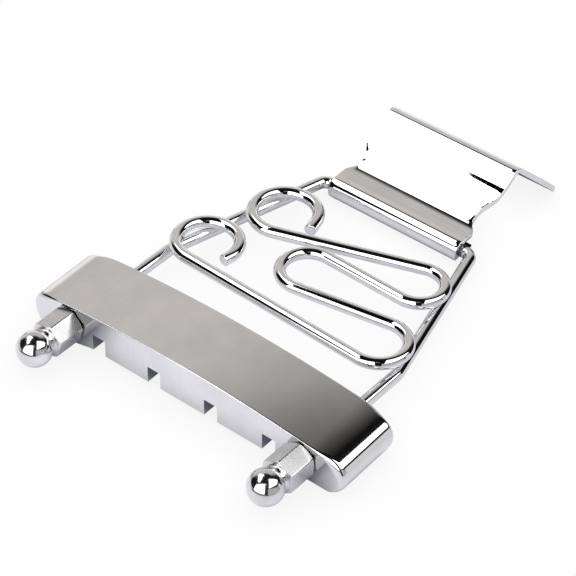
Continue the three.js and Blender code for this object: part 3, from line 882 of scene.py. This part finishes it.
def makeWalls():
    s = studio
    mesh = bpy.data.meshes.new("studioWalls")
    work = bmesh.new()
    bmesh.ops.create_icosphere(work, subdivisions=3, radius=s["wallRadius"])
    bmesh.ops.reverse_faces(work, faces=work.faces)
    work.to_mesh(mesh)
    work.free()
    material = emptyMaterial("studioWalls")
    tree = material.node_tree
    place = addNode(tree, "ShaderNodeTexCoord").outputs["Object"]
    way = addNode(tree, "ShaderNodeVectorMath", {"operation": "NORMALIZE"}, {0: place}).outputs["Vector"]
    axes = addNode(tree, "ShaderNodeSeparateXYZ", {}, {"Vector": way}).outputs
    azimuth = addNode(tree, "ShaderNodeMath", {"operation": "ARCTAN2"},
                      {0: axes["X"], 1: axes["Y"]}).outputs[0]
    height = addNode(tree, "ShaderNodeMath", {"operation": "ARCSINE"}, {0: axes["Z"]}).outputs[0]
    share = addNode(tree, "ShaderNodeMath", {"operation": "DIVIDE", 1: math.pi / 2}, {0: height})
    ramp = addNode(tree, "ShaderNodeValToRGB", {}, {"Fac": share.outputs[0]})
    stops = ramp.color_ramp.elements
    for i, (degrees, level) in enumerate(s["sweep"]):
        stop = stops[i] if i < 2 else stops.new(degrees / 90)  # a new ramp already has two
        stop.position = degrees / 90
        stop.color = tuple(level * tint for tint in s["sweepTint"]) + (1,)
    fades = []
    for (start, end), (before, after) in ((s["sweepFrom"], (0.0, 1.0)), (s["sweepTo"], (1.0, 0.0))):
        fades.append(addNode(tree, "ShaderNodeMapRange", {
            "interpolation_type": "SMOOTHSTEP",
            "From Min": math.radians(start), "From Max": math.radians(end),
            "To Min": before, "To Max": after}, {"Value": azimuth}).outputs["Result"])
    lit = addNode(tree, "ShaderNodeVectorMath", {"operation": "SCALE"},
                  {0: ramp.outputs["Color"], "Scale": overlapOf(tree, fades)})
    lit = addNode(tree, "ShaderNodeVectorMath", {"operation": "MAXIMUM", 1: (s["dark"],) * 3},
                  {0: lit.outputs["Vector"]})
    above = addNode(tree, "ShaderNodeMath", {"operation": "GREATER_THAN", 1: math.radians(s["floorFrom"])},
                    {0: height})
    # sockets 4 and 5 and output 1 are the mix node's ones for vectors
    lit = addNode(tree, "ShaderNodeMix", {"data_type": "VECTOR", 4: s["floorGlow"]},
                  {0: above.outputs[0], 5: lit.outputs["Vector"]})
    glow = addNode(tree, "ShaderNodeEmission", {"Strength": 1.0}, {"Color": lit.outputs[1]})
    addNode(tree, "ShaderNodeOutputMaterial", {}, {"Surface": glow.outputs["Emission"]})
    mesh.materials.append(material)
    return unseen(newObject("studioWalls", mesh))


def makeTable():
    # white to the camera and pale lilac in the metal, with the object's own soft shadow
    s = studio
    angles = [math.tau * k / s["tableSides"] for k in range(s["tableSides"])]
    rim = [Vector((s["tableRadius"] * math.cos(angle), s["tableRadius"] * math.sin(angle), -s["tableDrop"]))
           for angle in angles]
    table = newObject("paleTable", meshOf(rim, [tuple(range(s["tableSides"]))], "paleTable"))
    material = emptyMaterial("paleTable")
    tree = material.node_tree
    rays = addNode(tree, "ShaderNodeLightPath").outputs
    # the metal sees it evenly lit, darker close to the object and far from the lamps
    close = addNode(tree, "ShaderNodeAmbientOcclusion",
                    {"Distance": s["mirrorReach"], "samples": s["shadeSamples"]})
    closeTone = addNode(tree, "ShaderNodeMapRange", {
        "From Min": s["mirrorOpen"][0], "From Max": s["mirrorOpen"][1]}, {"Value": close.outputs["AO"]})
    shown = addNode(tree, "ShaderNodeMix", {"data_type": "VECTOR", 4: s["mirrorShade"], 5: s["tableGlow"]},
                    {0: closeTone.outputs["Result"]})
    place = addNode(tree, "ShaderNodeTexCoord").outputs["Object"]
    far = addNode(tree, "ShaderNodeVectorMath", {"operation": "DISTANCE", 1: s["poolAt"]}, {0: place})
    fade = addNode(tree, "ShaderNodeMapRange", {
        "From Min": s["poolFade"][0], "From Max": s["poolFade"][1],
        "To Min": 1.0, "To Max": s["poolFade"][2]}, {"Value": far.outputs["Value"]})
    glow = addNode(tree, "ShaderNodeEmission", {},
                   {"Color": shown.outputs[1], "Strength": fade.outputs["Result"]})
    matt = addNode(tree, "ShaderNodeBsdfDiffuse", {"Color": srgb(s["tableColour"])})
    lit = addNode(tree, "ShaderNodeMixShader", {},
                  {0: mirrorRays(tree, rays), 1: matt.outputs[0], 2: glow.outputs[0]})
    # the camera sees through it to the white world, but for the shadow
    near = addNode(tree, "ShaderNodeAmbientOcclusion",
                   {"Distance": s["shadowReach"], "samples": s["shadeSamples"]})
    shade = addNode(tree, "ShaderNodeMapRange", {"To Min": 1 - s["shadowDepth"], "To Max": 1.0},
                    {"Value": near.outputs["AO"]})
    clear = addNode(tree, "ShaderNodeBsdfTransparent", {}, {"Color": shade.outputs["Result"]})
    both = addNode(tree, "ShaderNodeMixShader", {},
                   {0: rays["Is Camera Ray"], 1: lit.outputs[0], 2: clear.outputs[0]})
    addNode(tree, "ShaderNodeOutputMaterial", {}, {"Surface": both.outputs[0]})
    table.data.materials.append(material)
    return table


def makeWorld():
    # white where the camera or the metal sees it, and no light of its own
    world = bpy.data.worlds.new("whiteStudio")
    scene.world = world
    world.use_nodes = True
    tree = world.node_tree
    tree.nodes.clear()
    rays = addNode(tree, "ShaderNodeLightPath").outputs
    seen = addNode(tree, "ShaderNodeMath", {"operation": "MAXIMUM"},
                   {0: rays["Is Camera Ray"], 1: mirrorRays(tree, rays)})
    back = addNode(tree, "ShaderNodeBackground", {"Color": (1, 1, 1, 1)}, {"Strength": seen.outputs[0]})
    addNode(tree, "ShaderNodeOutputWorld", {}, {"Surface": back.outputs[0]})


makeWalls()
makeTable()
for panelName, (corners, strength, soft) in studio["panels"].items():
    makePanel(panelName, corners, strength, soft, studio["panelRadius"])
makePanel("flag", studio["flag"], 0.0, studio["flagSoft"], studio["flagRadius"])
makeWorld()
scene.view_settings.view_transform = "Standard"
print("studio lit")
